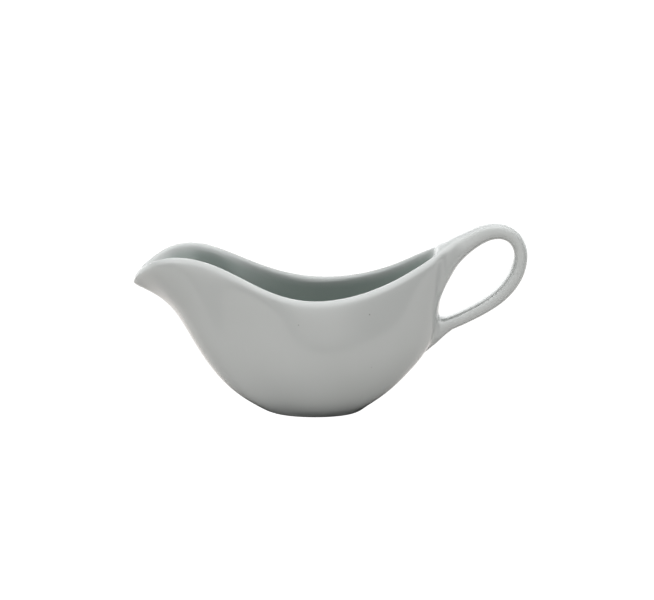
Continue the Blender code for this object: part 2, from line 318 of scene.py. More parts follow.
# The shade on the table round the foot: from where to where it fades, and its size.
SHADE_EDGE = (0.030, 0.082)
SHADE_SIZE = 0.4
SHADE_COLOUR = (0.05, 0.05, 0.045, 1.0)
SHADE_LEVEL = -0.0006
FLOOR_LEVEL = -0.0010
FLOOR_SIZE = 20.0
FLOOR_BRIGHTNESS = 1.1

# The light's tint, warmer from below than from above.
WARM = (1.045, 1.0, 0.965)
COOL = (0.985, 1.0, 1.003)
WARM_BELOW = (-0.40, 0.0)


# ---------------------------------------------------------------- curves

def spline(points, closed=False):
    """A smooth curve through points; returns a function of 0..1 along its length."""
    knots = np.array(points, dtype=float)
    if closed:
        knots = np.vstack([knots, knots[:1]])
    steps = np.linalg.norm(np.diff(knots, axis=0), axis=1)
    at = np.concatenate([[0.0], np.cumsum(steps)]) / steps.sum()
    count = len(knots)
    gap = np.diff(at)
    matrix = np.zeros((count, count))
    right = np.zeros((count, knots.shape[1]))
    slopes = np.diff(knots, axis=0) / gap[:, None]
    for i in range(1, count - 1):
        matrix[i, i - 1:i + 2] = (gap[i - 1], 2 * (gap[i - 1] + gap[i]), gap[i])
        right[i] = 6 * (slopes[i] - slopes[i - 1])
    if closed:
        matrix[0, 0] = 1.0
        matrix[0, -1] = -1.0
        matrix[-1, :2] = (2 * gap[0], gap[0])
        matrix[-1, -2:] = (gap[-1], 2 * gap[-1])
        right[-1] = 6 * (slopes[0] - slopes[-1])
    else:
        matrix[0, 0] = 1.0
        matrix[-1, -1] = 1.0
    bend = np.linalg.solve(matrix, right)

    def curve(t):
        t = t % 1.0 if closed else t
        i = min(max(int(np.searchsorted(at, t)) - 1, 0), count - 2)
        a, b, h = at[i + 1] - t, t - at[i], gap[i]
        low = knots[i] / h - bend[i] * h / 6
        high = knots[i + 1] / h - bend[i + 1] * h / 6
        return (bend[i] * a ** 3 + bend[i + 1] * b ** 3) / (6 * h) + low * a + high * b

    return curve


def mirrored(line):
    """The half line from tip to back, followed by its mirror image back to the tip."""
    other_side = [(x, -y, z) for x, y, z in reversed(line[1:-1])]
    return line + other_side


def outline(points):
    """An outline scaled to run from (0, 0) to (1, 1)."""
    start = np.array(points[0])
    scale = np.array(points[-1]) - start
    return spline([tuple((np.array(point) - start) / scale) for point in points])


def smooth_step(value):
    value = min(max(value, 0.0), 1.0)
    return value * value * (3 - 2 * value)


def unit(vector):
    return vector / np.linalg.norm(vector)


rim_curve = spline(mirrored(RIM_LINE), closed=True)
spout_outline = outline(SPOUT_OUTLINE)
flank_outline = outline(FLANK_OUTLINE)
back_outline = outline(BACK_OUTLINE)


# ---------------------------------------------------------------- the wall

def half_way(turn):
    """0 at the tip, 1 at the back, for a turn of 0..1 right round the boat."""
    turn = turn % 1.0
    return 2 * turn if turn <= 0.5 else 2 * (1 - turn)


def rim_turn(turn):
    way = half_way(turn)
    crowding = CROWDING * math.sin(2 * math.pi * way) / (2 * math.pi)
    lean_back = MIDDLE_LEAN * math.sin(math.pi * way) ** 2
    reached = 0.5 * (way - crowding + lean_back)
    return reached if turn % 1.0 <= 0.5 else 1 - reached


def rim_point(turn):
    return rim_curve(rim_turn(turn))


def foot_point(turn, inset=0.0):
    angle = 2 * math.pi * turn
    x = FOOT_CENTRE_X - (FOOT_HALF_LENGTH - inset) * math.cos(angle)
    y = (FOOT_HALF_WIDTH - inset) * math.sin(angle)
    return np.array([x, y, 0.0])


def profile(turn, height, top):
    """The share of the way out from the foot, and the height reached on the way to top."""
    way = half_way(turn)
    flank_out, flank_up = flank_outline(height)
    if way < WIDEST_WAY:
        out, up = spout_outline(height)
        reached = KEEL_TOP * up + (top - KEEL_TOP) * out ** LATE_CLIMB
        towards = way / WIDEST_WAY
        share = (towards ** 2 + smooth_step(towards)) / 2
    else:
        out, up = back_outline(height)
        reached = top * up
        share = 1 - smooth_step((way - WIDEST_WAY) / (1 - WIDEST_WAY))
    out_share = out + share * (flank_out - out)
    return out_share, reached + share * (top * flank_up - reached)


def tip_share(turn, reach):
    """1 at the tip, falling to 0 at a part of the way to the back."""
    return 1 - smooth_step(half_way(turn) / reach)


def back_share(turn):
    """1 at the back, falling to 0 where the back's own rim starts."""
    return smooth_step((half_way(turn) - BACK_RIM_START) / (1 - BACK_RIM_START))


def wall_thickness(turn):
    at_tip = tip_share(turn, LIP_REACH)
    return WALL_THICKNESS + at_tip * (SPOUT_LIP_THICKNESS - WALL_THICKNESS)


def outer_round(turn):
    at_sides = RIM_OUTER_ROUND + back_share(turn) * (BACK_RIM_OUTER_ROUND - RIM_OUTER_ROUND)
    return at_sides + tip_share(turn, LIP_REACH) * (SPOUT_LIP_OUTER_ROUND - RIM_OUTER_ROUND)


def rim_frame(turn):
    """At the rim: the wall's upward direction and the direction out of the wall."""
    along = unit(rim_point(turn + SMALL_STEP) - rim_point(turn - SMALL_STEP))
    top = rim_point(turn)
    out, reached = profile(turn, 1 - SMALL_STEP, top[2])
    below = foot_point(turn) * (1 - out) + top * out
    below[2] = reached
    outward = unit(np.cross(top - below, along))
    upward = unit(np.cross(along, outward))
    return upward, outward


def outer_shoulder(turn):
    up, out = rim_frame(turn)
    return rim_point(turn) - up * outer_round(turn) + out * wall_thickness(turn) / 2


def wall_point(turn, height):
    """A point of the outer wall, for a height of 0 at the foot and 1 at the rim."""
    top = outer_shoulder(turn)
    out, reached = profile(turn, height, top[2])
    point = foot_point(turn) * (1 - out) + top * out
    point[2] = reached
    return point


def wall_normal(turn, height):
    low = max(height - SMALL_STEP, 0.0)
    high = min(height + SMALL_STEP, 1.0)
    up = wall_point(turn, high) - wall_point(turn, low)
    along = wall_point(turn + SMALL_STEP, height) - wall_point(turn - SMALL_STEP, height)
    return unit(np.cross(up, along))


def offset_wall(turn, height, distance):
    return wall_point(turn, height) + wall_normal(turn, height) * distance


def rim_ring(turn, angle):
    """The rounded rim: 0 degrees is the outer shoulder, 90 the top, 180 the inside. At
    the back the inside comes forward, because the handle's root runs into the rim."""
    up, out = rim_frame(turn)
    at_back = back_share(turn)
    forward = at_back * BACK_RIM_EXTRA * min(math.cos(angle), 0.0)
    if angle < math.pi / 2:
        drop = outer_round(turn)
    else:
        drop = RIM_INNER_ROUND + at_back * BACK_RIM_EXTRA_ROUND
    lift = drop * (math.sin(angle) - 1)
    across = wall_thickness(turn) / 2 * math.cos(angle)
    return rim_point(turn) + up * lift + out * across + np.array([forward, 0.0, 0.0])


def inner_point(turn, height):
    """The inner wall: the outer wall's offset, eased to meet the rim's inner edge."""
    point = offset_wall(turn, height, -wall_thickness(turn))
    edge_error = rim_ring(turn, math.pi) - offset_wall(turn, 1.0, -wall_thickness(turn))
    ease = smooth_step((height - RIM_EASE_START) / (1 - RIM_EASE_START))
    return point + edge_error * ease


def floor_point(turn, share):
    """The bowl's floor, from its middle at 0 to the lowest ring of the wall at 1."""
    ring = inner_point(turn, INNER_WALL_START)
    above = inner_point(turn, INNER_WALL_START + SMALL_STEP)
    middle = np.array([FOOT_CENTRE_X, 0.0, FLOOR_HEIGHT])
    reach = ring[:2] - middle[:2]
    run = np.linalg.norm(reach)
    steepness = (above[2] - ring[2]) / np.linalg.norm(above[:2] - ring[:2])
    rise = ring[2] - middle[2]
    height = (3 * rise - steepness * run) * share ** 2
    height += (steepness * run - 2 * rise) * share ** 3
    plan = middle[:2] + reach * share
    return np.array([plan[0], plan[1], middle[2] + height])


# ---------------------------------------------------------------- the cage

def height_share(back_height):
    """The share of the way up at which the back wall reaches a height."""
    low, high = 0.0, 1.0
    for _ in range(BISECTIONS):
        middle = (low + high) / 2
        if wall_point(0.5, middle)[2] < back_height:
            low = middle
        else:
            high = middle
    return (low + high) / 2


def column_turns():
    one_side = [way / 2 for way in COLUMN_WAYS]
    return one_side + [1 - way / 2 for way in reversed(COLUMN_WAYS[1:-1])]


class Cage:
    """Vertices, quads and the piece that each quad belongs to."""

    def __init__(self):
        self.points = []
        self.quads = []
        self.owners = []

    def add(self, points):
        first = len(self.points)
        self.points.extend(points)
        return list(range(first, first + len(points)))

    def bridge(self, low, high, owner, skip=()):
        count = len(low)
        for i in range(count):
            if i not in skip:
                j = (i + 1) % count
                self.quads.append((low[i], low[j], high[j], high[i]))
                self.owners.append(owner)

    def grid(self, rows, owner):
        for low, high in zip(rows, rows[1:]):
            for i in range(len(low) - 1):
                self.quads.append((low[i], low[i + 1], high[i + 1], high[i]))
                self.owners.append(owner)


def coons(bottom, right, top, left):
    """Points of a grid inside four edges: bottom and top run one way, left and right up."""
    bottom, right, top, left = (np.array(side) for side in (bottom, right, top, left))
    across, upward = len(bottom) - 1, len(left) - 1
    rows = []
    for j in range(upward + 1):
        v = j / upward
        row = []
        for i in range(across + 1):
            u = i / across
            ruled = (1 - v) * bottom[i] + v * top[i] + (1 - u) * left[j] + u * right[j]
            corners = (1 - u) * (1 - v) * bottom[0] + u * (1 - v) * bottom[-1]
            corners = corners + (1 - u) * v * top[0] + u * v * top[-1]
            row.append(ruled - corners)
        rows.append(row)
    return rows


def grid_sides(ring, short):
    """The bottom, right, top and left sides of a grid, from the ring round its edge."""
    long = len(ring) // 2 - short
    left = ring[:short + 1]
    top = ring[short:short + long + 1]
    right = ring[short + long:2 * short + long + 1][::-1]
    bottom = (ring[2 * short + long:] + ring[:1])[::-1]
    return bottom, right, top, left


def cap_grid(cage, ring, owner, shape):
    """Closes an oval ring with a grid of quads; shape moves each inner point."""
    count = len(ring)
    short = CAP_SHORT_SIDE
    long = count // 2 - short
    start = -short // 2
    order = [ring[(start + i) % count] for i in range(count)]
    points = [cage.points[i] for i in order]
    bottom, right, top, left = sides = grid_sides(order, short)
    inner = coons(*[[cage.points[i] for i in side] for side in sides])
    rows = []
    for j in range(short + 1):
        row = []
        for i in range(long + 1):
            if j == 0:
                row.append(bottom[i])
            elif j == short:
                row.append(top[i])
            elif i == 0:
                row.append(left[j])
            elif i == long:
                row.append(right[j])
            else:
                row.append(cage.add([shape(inner[j][i], points)])[0])
        rows.append(row)
    cage.grid(rows, owner)


def flat_shape(point, _edge):
    return point


def dished(point, edge):
    """The floor's dish: lowest in the middle, meeting the ring round it."""
    edge = np.array(edge)
    middle = (edge.max(axis=0) + edge.min(axis=0)) / 2
    half = (edge.max(axis=0) - edge.min(axis=0)) / 2
    radius = min(1.0, math.hypot(*((point - middle)[:2] / half[:2])))
    lowered = point.copy()
    lowered[2] = FLOOR_HEIGHT + (point[2] - FLOOR_HEIGHT) * radius ** 2
    return lowered


def ring_from_edges(outer_x, outer_z, inner_x, inner_z, width):
    """A closed section given by its outer and inner edges in the XZ plane."""
    outer = np.array([outer_x, 0.0, outer_z])
    inner = np.array([inner_x, 0.0, inner_z])
    middle = (outer + inner) / 2
    reach = (outer - inner) / 2
    power = 2 / HANDLE_SQUARENESS
    points = []
    for side in range(HANDLE_SIDES):
        angle = 2 * math.pi * side / HANDLE_SIDES
        out = math.copysign(abs(math.cos(angle)) ** power, math.cos(angle))
        aside = math.copysign(abs(math.sin(angle)) ** power, math.sin(angle))
        points.append(middle + reach * out - np.array([0.0, aside * width / 2, 0.0]))
    return points


def handle_rings():
    """The handle's sections from the upper root to the lower one."""
    line = [np.array(knot) for knot in HANDLE_LINE]
    rings = [ring_from_edges(*edges) for edges in UPPER_ROOT_RINGS]
    for i in range(1, len(line) - 1):
        along = unit(line[i + 1][:2] - line[i - 1][:2])
        across = np.array([-along[1], along[0]]) * line[i][2] / 2
        outer = line[i][:2] + across
        inner = line[i][:2] - across
        rings.append(ring_from_edges(*outer, *inner, line[i][3]))
    return rings + [ring_from_edges(*edges) for edges in LOWER_ROOT_RINGS]


def patch_loop(rows, half_width, start_low):
    """The vertices round a patch of the wall, from the middle of its outer edge."""
    first, last = (0, len(rows) - 1) if start_low else (len(rows) - 1, 0)
    step = 1 if last > first else -1
    near = BACK_COLUMN + half_width
    far = BACK_COLUMN - half_width
    loop = [rows[first][c] for c in range(BACK_COLUMN, near + 1)]
    loop += [rows[r][near] for r in range(first + step, last, step)]
    loop += [rows[last][c] for c in range(near, far - 1, -1)]
    loop += [rows[r][far] for r in range(last - step, first, -step)]
    loop += [rows[first][c] for c in range(far, BACK_COLUMN)]
    return loop


def rounded_channel(points, turns, rounds):
    """Eases a ring of the inside near the spout's tip, where it would come to a point."""
    for _ in range(rounds):
        eased = []
        for i, turn in enumerate(turns):
            between = (points[i - 1] + points[(i + 1) % len(points)]) / 2
            pull = tip_share(turn, CHANNEL_REACH)
            eased.append(points[i] + (between - points[i]) * pull * CHANNEL_PULL)
        points = eased
    return points


def build_cage():
    cage = Cage()
    turns = column_turns()
    rows = []
    for inset, height in FOOT_ROWS:
        lift = np.array([0.0, 0.0, height])
        rows.append(cage.add([foot_point(turn, inset) + lift for turn in turns]))
    names = {}
    back_rows = LOW_WALL_ROWS + LOWER_ROOT_ROWS + MIDDLE_WALL_ROWS + UPPER_ROOT_ROWS
    for back_height in back_rows:
        share = height_share(back_height)
        names[back_height] = len(rows)
        rows.append(cage.add([wall_point(turn, share) for turn in turns]))
    for angle in RIM_ANGLES:
        names[angle] = len(rows)
        ring = [rim_ring(turn, math.radians(angle)) for turn in turns]
        rounds = CHANNEL_ROUNDS if angle == 180 else 1 if angle > 90 else 0
        rows.append(cage.add(rounded_channel(ring, turns, rounds)))
    for height in INNER_HEIGHTS:
        ring = [inner_point(turn, height) for turn in turns]
        rows.append(cage.add(rounded_channel(ring, turns, CHANNEL_ROUNDS)))
    for share in FLOOR_SHARES:
        rows.append(cage.add([floor_point(turn, share) for turn in turns]))

    lower = range(names[LOWER_ROOT_ROWS[0]], names[LOWER_ROOT_ROWS[-1]])
    upper = range(names[UPPER_ROOT_ROWS[0]], names[90])
    for i, (low, high) in enumerate(zip(rows, rows[1:])):
        half = UPPER_ROOT_COLUMNS if i in upper else LOWER_ROOT_COLUMNS if i in lower else 0
        skip = range(BACK_COLUMN - half, BACK_COLUMN + half)
        cage.bridge(low, high, "inside" if i >= names[90] else "body", skip)
    cap_grid(cage, rows[0], "body", flat_shape)
    cap_grid(cage, rows[-1], "inside", dished)

    rings = [cage.add(ring) for ring in handle_rings()]
    upper_rows = [rows[i] for i in range(upper.start, upper.stop + 1)]
    lower_rows = [rows[i] for i in range(lower.start, lower.stop + 1)]
    upper_loop = patch_loop(upper_rows, UPPER_ROOT_COLUMNS, start_low=False)
    lower_loop = patch_loop(lower_rows, LOWER_ROOT_COLUMNS, start_low=True)
    cage.bridge(upper_loop, rings[0], "upper_root")
    cage.bridge(rings[0], rings[1], "upper_root")
    for low, high in zip(rings[1:], rings[2:-1]):
        cage.bridge(low, high, "handle")
    cage.bridge(rings[-2], rings[-1], "lower_root")
    cage.bridge(rings[-1], lower_loop, "lower_root")
    cage.upper_loop, cage.lower_loop, cage.rings = upper_loop, lower_loop, rings
    return cage


def drop_unused(cage):
    """Forgets the wall's vertices inside the two patches."""
    used = sorted({i for quad in cage.quads for i in quad})
    new = {old: i for i, old in enumerate(used)}
    cage.points = [cage.points[i] for i in used]
    cage.quads = [tuple(new[i] for i in quad) for quad in cage.quads]
    cage.upper_loop = [new[i] for i in cage.upper_loop]
    cage.lower_loop = [new[i] for i in cage.lower_loop]
    cage.rings = [[new[i] for i in ring] for ring in cage.rings]


def limit_matrix(count, quads):
    """Rows give each vertex's place on the subdivided surface from the cage's vertices."""
    quads = np.array(quads)
    edge_sum = np.zeros((count, count))
    face_sum = np.zeros((count, count))
    for corner in range(4):
        here = quads[:, corner]
        nearby = quads[:, (corner + 1) % 4]
        edge_sum[here, nearby] = 1.0
        edge_sum[nearby, here] = 1.0
        np.add.at(face_sum, (here, quads[:, (corner + 2) % 4]), 1.0)
    valence = edge_sum.sum(axis=1)
    total = np.diag(valence ** 2) + 4 * edge_sum + face_sum
    return total / (valence * (valence + 5))[:, None]


def fit_cage(cage):
    """Moves the cage so that the subdivided surface passes through the design points."""
    wanted = np.array(cage.points)
    limit = limit_matrix(len(wanted), cage.quads)
    points = wanted.copy()
    for _ in range(FIT_ROUNDS):
        points += wanted - limit @ points
    return points


def skin_mesh(cage, points):
    """The subdivided skin of the whole boat, with faces outwards."""
    owners = sorted(set(cage.owners))
    mesh = bmesh.new()
    verts = [mesh.verts.new(point) for point in points]
    for quad, owner in zip(cage.quads, cage.owners):
        face = mesh.faces.new([verts[i] for i in quad])
        face.material_index = owners.index(owner)
        face.smooth = True
    bmesh.ops.recalc_face_normals(mesh, faces=mesh.faces)
    data = bpy.data.meshes.new("skin_cage")
    mesh.to_mesh(data)
    mesh.free()
    for owner in owners:
        data.materials.append(bpy.data.materials.new("sorting_" + owner))
    holder = bpy.data.objects.new("skin_cage", data)
    bpy.context.collection.objects.link(holder)
    divide = holder.modifiers.new("divide", "SUBSURF")
    divide.levels = SKIN_LEVELS
    divide.render_levels = SKIN_LEVELS
    bpy.context.view_layer.update()
    seen = holder.evaluated_get(bpy.context.evaluated_depsgraph_get())
    skin = bpy.data.meshes.new_from_object(seen)
    bpy.data.objects.remove(holder)
    return skin, owners


def skin_arrays(skin):
    """The skin's points, its faces and each face's owner index."""
    points = np.empty(len(skin.vertices) * 3)
    skin.vertices.foreach_get("co", points)
    faces = [tuple(polygon.vertices) for polygon in skin.polygons]
    return points.reshape(-1, 3), faces, [polygon.material_index for polygon in skin.polygons]


def nearest(points, place):
    return int(np.argmin(((points - place) ** 2).sum(axis=1)))


def distance_to(points, places):
    """Each point's distance to the nearest of the places."""
    result = np.full(len(points), np.inf)
    for place in places:
        result = np.minimum(result, np.linalg.norm(points - place, axis=1))
    return result


def fair(points, faces, joints):
    """Evens out the skin's curvature near the joints, and leaves the rest alone."""
    away = distance_to(points, points[joints])
    near = np.flatnonzero(away < FAIR_REACH)
    number = {int(vertex): i for i, vertex in enumerate(near)}
    around = {vertex: set() for vertex in number}
    for face in faces:
        for a, b in zip(face, face[1:] + face[:1]):
            if a in around:
                around[a].add(b)
            if b in around:
                around[b].add(a)
    count = len(near)
    fixed = np.zeros((count, 3))
    rows, columns, shares = [], [], []
    for vertex, others in around.items():
        for other in others:
            if other in number:
                rows.append(number[vertex])
                columns.append(number[other])
                shares.append(1 / len(others))
            else:
                fixed[number[vertex]] -= points[other] / len(others)
    rows, columns, shares = np.array(rows), np.array(columns), np.array(shares)

    def spread(values, source, target):
        moved = (np.bincount(target, shares * values[source, k], count) for k in range(3))
        return values - np.stack(list(moved), axis=1)

    firmness = (away[near] / FAIR_REACH) ** FAIR_HOLD_POWER
    span = math.log(FAIR_HOLD_AWAY / FAIR_HOLD_AT_JOINT)
    hold = (FAIR_HOLD_AT_JOINT * np.exp(span * firmness))[:, None]

    def system(values):
        return spread(spread(values, columns, rows), rows, columns) + hold * values

    found = points[near]
    residual = hold * points[near] - spread(fixed, rows, columns) - system(found)
    direction = residual.copy()
    size = (residual ** 2).sum()
    for _ in range(FAIR_ROUNDS):
        image = system(direction)
        step = size / (direction * image).sum()
        found = found + step * direction
        residual = residual - step * image
        next_size = (residual ** 2).sum()
        direction = residual + next_size / size * direction
        size = next_size
    fairer = points.copy()
    fairer[near] = found
    return fairer


def add_tail(points, normals):
    """Raises the tapering tail that the handle's lower root draws down the wall."""
    heights, prouds, widths = np.array(TAIL_LINE).T
    proud = np.interp(points[:, 2], heights, prouds, left=0.0, right=0.0)
    width = np.interp(points[:, 2], heights, widths)
    inward = np.clip((width + TAIL_SIDE_SLOPE / 2 - np.abs(points[:, 1])) / TAIL_SIDE_SLOPE, 0, 1)
    side = inward ** 2 * (3 - 2 * inward)
    behind = (points[:, 0] > TAIL_FROM_X) & (normals[:, 0] > TAIL_LEAST_FACING)
    return points + normals * (proud * side * behind)[:, None]


def directed_ring(faces, owner_of, piece, start):
    """The ring of vertices where a piece's faces end, from a start vertex."""
    mine = {}
    theirs = set()
    for face, owner in zip(faces, owner_of):
        for a, b in zip(face, face[1:] + face[:1]):
            if owner in piece:
                mine.setdefault(a, set()).add(b)
            else:
                theirs.add((b, a))
    ring = [start]
    while True:
        here = ring[-1]
        following = [other for other in mine[here] if (here, other) in theirs][0]
        if following == start:
            return ring
        ring.append(following)


class Closings:
    """Extra points and faces that close the pieces where they part from each other."""

    def __init__(self, points):
        self.points = list(points)

    def add(self, point):
        self.points.append(point)
        return len(self.points) - 1

    def patch(self, ring, short, push):
        """A grid across a four-sided ring; push moves its middle."""
        long = len(ring) // 2 - short
        bottom, right, top, left = sides = grid_sides(ring, short)
        inner = coons(*[[self.points[i] for i in side] for side in sides])
        rows = [bottom]
        for j in range(1, short):
            row = [left[j]]
            for i in range(1, long):
                bulge = math.sqrt(math.sin(math.pi * i / long) * math.sin(math.pi * j / short))
                row.append(self.add(inner[j][i] + push * bulge))
            rows.append(row + [right[j]])
        rows.append(top)
        faces = []
        for low, high in zip(rows, rows[1:]):
            faces += [(low[i], low[i + 1], high[i + 1], high[i]) for i in range(long)]
        return faces

    def fan(self, ring, push):
        middle = self.add(np.mean([self.points[i] for i in ring], axis=0) + push)
        return [(a, b, middle) for a, b in zip(ring, ring[1:] + ring[:1])]


def piece_object(name, points, skin_faces, closing_faces, normals):
    """A closed piece whose skin is shaded with the whole boat's normals."""
    used = sorted({i for face in skin_faces + closing_faces for i in face})
    new = {old: i for i, old in enumerate(used)}
    mesh = bmesh.new()
    verts = [mesh.verts.new(points[i]) for i in used]
    for closing, faces in ((0, skin_faces), (1, closing_faces)):
        for face in faces:
            made = mesh.faces.new([verts[new[i]] for i in face])
            made.material_index = closing
            made.smooth = True
    bmesh.ops.recalc_face_normals(mesh, faces=mesh.faces)
    data = bpy.data.meshes.new(name)
    mesh.to_mesh(data)
    mesh.free()
    shading = []
    for polygon in data.polygons:
        for vertex in polygon.vertices:
            hidden = polygon.material_index == 1
            shading.append(tuple(polygon.normal if hidden else normals[used[vertex]]))
    for polygon in data.polygons:
        polygon.material_index = 0
    data.normals_split_custom_set(shading)
    made = bpy.data.objects.new(name, data)
    bpy.context.collection.objects.link(made)
    return made


def fine_corners(limit_points, points, loop, half_width):
    """The subdivided skin's vertices at the four corners of a patch's ring."""
    rows = len(loop) // 2 - 2 * half_width
    places = [half_width, half_width + rows, 3 * half_width + rows, 3 * half_width + 2 * rows]
    return [nearest(points, limit_points[loop[place]]) for place in places]


def turned_ring(ring, corners):
    """The ring started at the first corner and run towards the second."""
    start = ring.index(corners[0])
    ring = ring[start:] + ring[:start]
    if ring.index(corners[1]) > ring.index(corners[3]):
        ring = ring[:1] + ring[:0:-1]
    return ring, ring.index(corners[1])


def inside_depth(points):
    """How far each point is below the rim's top line nearest to it."""
    line = np.array([rim_point(i / RIM_SAMPLES) for i in range(RIM_SAMPLES)])
    depth = np.empty(len(points))
    for i, point in enumerate(points):
        place = np.argmin(((line[:, :2] - point[:2]) ** 2).sum(axis=1))
        depth[i] = line[place][2] - point[2]
    return depth


def vertex_normals(mesh):
    normals = np.empty(len(mesh.vertices) * 3)
    mesh.vertices.foreach_get("normal", normals)
    return normals.reshape(-1, 3)


def build_pieces():
    """The bowl, the loop handle and the two root fillets, as closed objects."""
    cage = build_cage()
    drop_unused(cage)
    controls = fit_cage(cage)
    limit_points = limit_matrix(len(controls), cage.quads) @ controls
    skin, owners = skin_mesh(cage, controls)
    points, faces, owner_of = skin_arrays(skin)
    body = {owners.index("body"), owners.index("inside")}
    upper, lower = {owners.index("upper_root")}, {owners.index("lower_root")}
    handle = {owners.index("handle")}

    upper_corners = fine_corners(limit_points, points, cage.upper_loop, UPPER_ROOT_COLUMNS)
    lower_corners = fine_corners(limit_points, points, cage.lower_loop, LOWER_ROOT_COLUMNS)
    body_upper = directed_ring(faces, owner_of, body, upper_corners[0])
    body_lower = directed_ring(faces, owner_of, body, lower_corners[0])
    upper_end = nearest(points, limit_points[cage.rings[1][0]])
    lower_end = nearest(points, limit_points[cage.rings[-2][0]])
    handle_upper = directed_ring(faces, owner_of, handle, upper_end)
    handle_lower = directed_ring(faces, owner_of, handle, lower_end)

    points = fair(points, faces, body_upper + body_lower)
    skin.vertices.foreach_set("co", points.ravel())
    skin.update()
    points = add_tail(points, vertex_normals(skin))
    points[:, 2] = np.maximum(points[:, 2], 0.0)
    skin.vertices.foreach_set("co", points.ravel())
    skin.update()
    normals = vertex_normals(skin)

    closings = Closings(points)
    body_upper, upper_short = turned_ring(body_upper, upper_corners)
    body_lower, lower_short = turned_ring(body_lower, lower_corners)
    parts = {"body": [], "upper": [], "lower": [], "handle": []}
    for ring, short, name in ((body_upper, upper_short, "upper"),
                              (body_lower, lower_short, "lower")):
        inward = -unit(normals[ring].mean(axis=0))
        parts["body"] += closings.patch(ring, short, inward * BODY_CLOSING_DEPTH)
        parts[name] += closings.patch(ring, short, inward * ROOT_CLOSING_DEPTH)
    for ring, name, towards in ((handle_upper, "upper", cage.rings[3]),
                                (handle_lower, "lower", cage.rings[-4])):
        middle = points[ring].mean(axis=0)
        inward = unit(limit_points[towards].mean(axis=0) - middle)
        parts["handle"] += closings.fan(ring, inward * HANDLE_CLOSING_DEPTH)
        parts[name] += closings.fan(ring, np.zeros(3))

    def faces_of(piece):
        return [face for face, owner in zip(faces, owner_of) if owner in piece]

    bowl = piece_object("bowl_and_spout", closings.points, faces_of(body), parts["body"],
                        normals)
    loop = piece_object("loop_handle", closings.points, faces_of(handle), parts["handle"],
                        normals)
    upper_fillet = piece_object("upper_root_fillet", closings.points, faces_of(upper),
                                parts["upper"], normals)
    lower_fillet = piece_object("lower_root_fillet", closings.points, faces_of(lower),
                                parts["lower"], normals)

    depth = bowl.data.attributes.new("inside_depth", "FLOAT", "POINT")
    inner_faces = faces_of({owners.index("inside")})
    inner_points = np.array(sorted({i for face in inner_faces for i in face}))
    below = dict(zip(inner_points.tolist(), inside_depth(points[inner_points])))
    used = sorted({i for face in faces_of(body) + parts["body"] for i in face})
    depth.data.foreach_set("value", [max(below.get(i, 0.0), 0.0) for i in used])
    bpy.data.meshes.remove(skin)
    return bowl, loop, upper_fillet, lower_fillet


# ---------------------------------------------------------------- glaze nodes

def math_node(nodes, links, operation, *values):
    """A maths node whose inputs are numbers or other nodes' outputs."""
    node = nodes.new("ShaderNodeMath")
    node.operation = operation
    for socket, value in zip(node.inputs, values):
        if isinstance(value, (int, float)):
            socket.default_value = value
        else:
            links.new(value, socket)
    return node.outputs["Value"]


def soft_step(nodes, links, value, start, end):
    """0 before start, 1 after end, and smooth in between."""
    node = nodes.new("ShaderNodeMapRange")
    node.interpolation_type = "SMOOTHSTEP"
    links.new(value, node.inputs["Value"])
    node.inputs["From Min"].default_value = start
    node.inputs["From Max"].default_value = end
    return node.outputs["Result"]


def mix_colour(nodes, links, share, first, second):
    """A mix of two colours, each a triple or another node's output."""
    node = nodes.new("ShaderNodeMix")
    node.data_type = "RGBA"
    links.new(share, node.inputs["Factor"])
    for name, value in (("A", first), ("B", second)):
        socket = [i for i in node.inputs if i.name == name and i.type == "RGBA"][0]
        if isinstance(value, tuple):
            socket.default_value = (*value, 1.0)
        else:
            links.new(value, socket)
    return [o for o in node.outputs if o.type == "RGBA"][0]


def mix_value(nodes, links, share, first, second):
    """A mix of two values, the second a number or another node's output."""
    node = nodes.new("ShaderNodeMix")
    links.new(share, node.inputs["Factor"])
    links.new(first, node.inputs["A"])
    if isinstance(second, float):
        node.inputs["B"].default_value = second
    else:
        links.new(second, node.inputs["B"])
    return node.outputs["Result"]


def tinted(level, tint):
    return tuple(level * part for part in tint)


def speck_mask(nodes, links, place, centre, radius):
    """1 inside a small round speck, 0 outside it."""
    reach = nodes.new("ShaderNodeVectorMath")
    reach.operation = "DISTANCE"
    links.new(place, reach.inputs[0])
    reach.inputs[1].default_value = centre
    return soft_step(nodes, links, reach.outputs["Value"], radius, radius * 0.35)


def noise_value(nodes, links, place, scale, detail):
    noise = nodes.new("ShaderNodeTexNoise")
    noise.inputs["Scale"].default_value = scale
    noise.inputs["Detail"].default_value = detail
    links.new(place, noise.inputs["Vector"])
    return noise.outputs[0]


def new_material(name):
    look = bpy.data.materials.new(name)
    look.use_nodes = True
    return look, look.node_tree.nodes, look.node_tree.links


